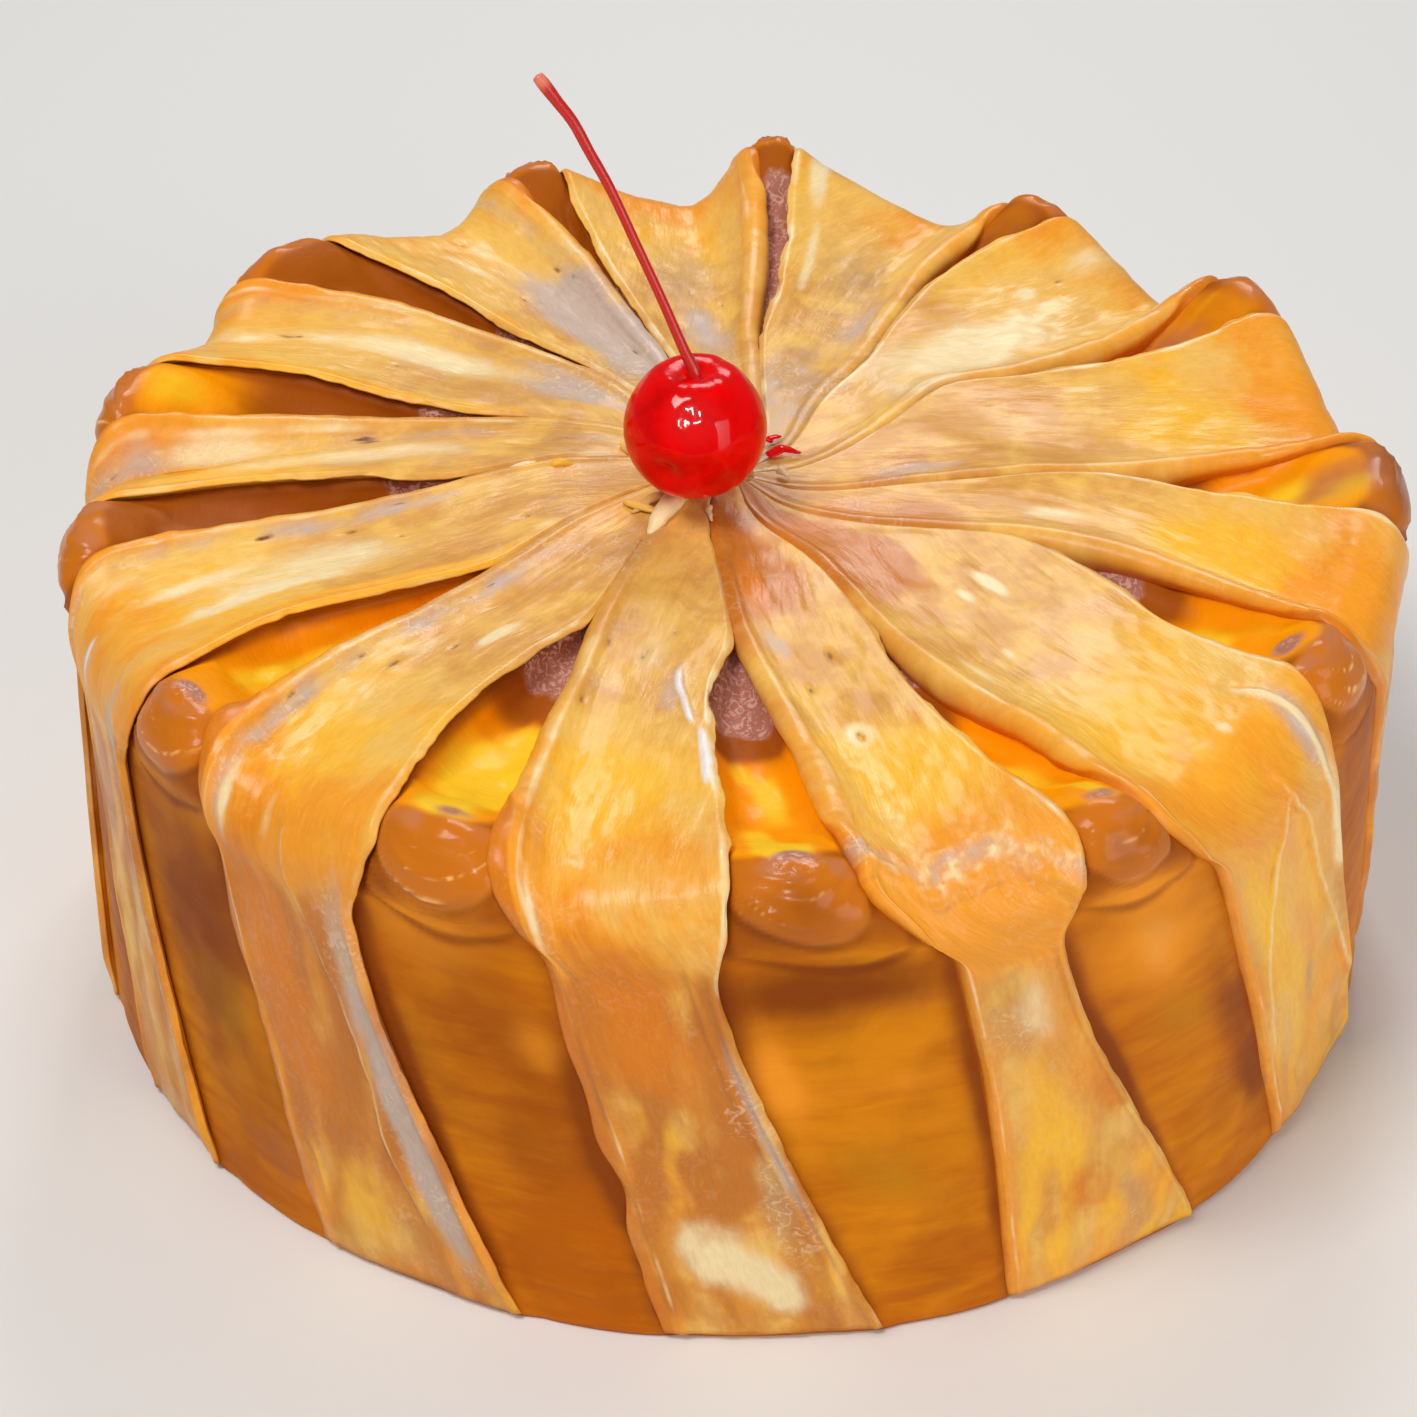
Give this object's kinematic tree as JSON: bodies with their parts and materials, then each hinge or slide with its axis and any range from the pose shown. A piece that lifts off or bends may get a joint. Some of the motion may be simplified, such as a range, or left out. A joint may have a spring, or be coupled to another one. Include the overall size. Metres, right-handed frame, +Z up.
{
  "type": "tres leches cake",
  "caption": "Uncut round cake with a glossy caramel undercoat, swept bands of cream icing turning about the top, and a stemmed cherry near the middle.",
  "frame": {"origin": "middle of the flat underside, where the cake's axis meets the surface it stands on", "axes": "+Z up along the cake's axis; +X to the right and -Y towards the viewer of the picture"},
  "size_m": [0.2217, 0.2228, 0.1543],
  "materials": {
    "caramel_icing": "glossy caramel icing, deep orange brown",
    "cream_icing": "satin cream icing, pale yellow marbled with tan",
    "cherry_skin": "wet, saturated red candied fruit skin",
    "stem_skin": "dyed red fruit stem"
  },
  "bodies": {
    "root": {"cake": "caramel_icing", "cream_band_01": "cream_icing", "cream_band_02": "cream_icing", "cream_band_03": "cream_icing", "cream_band_04": "cream_icing", "cream_band_05": "cream_icing", "cream_band_06": "cream_icing", "cream_band_07": "cream_icing", "cream_band_08": "cream_icing", "cream_band_09": "cream_icing", "cream_band_10": "cream_icing", "cream_band_11": "cream_icing", "cream_band_12": "cream_icing", "cream_band_13": "cream_icing", "cherry": "cherry_skin", "cherry_stem": "stem_skin"}
  },
  "joints": []
}
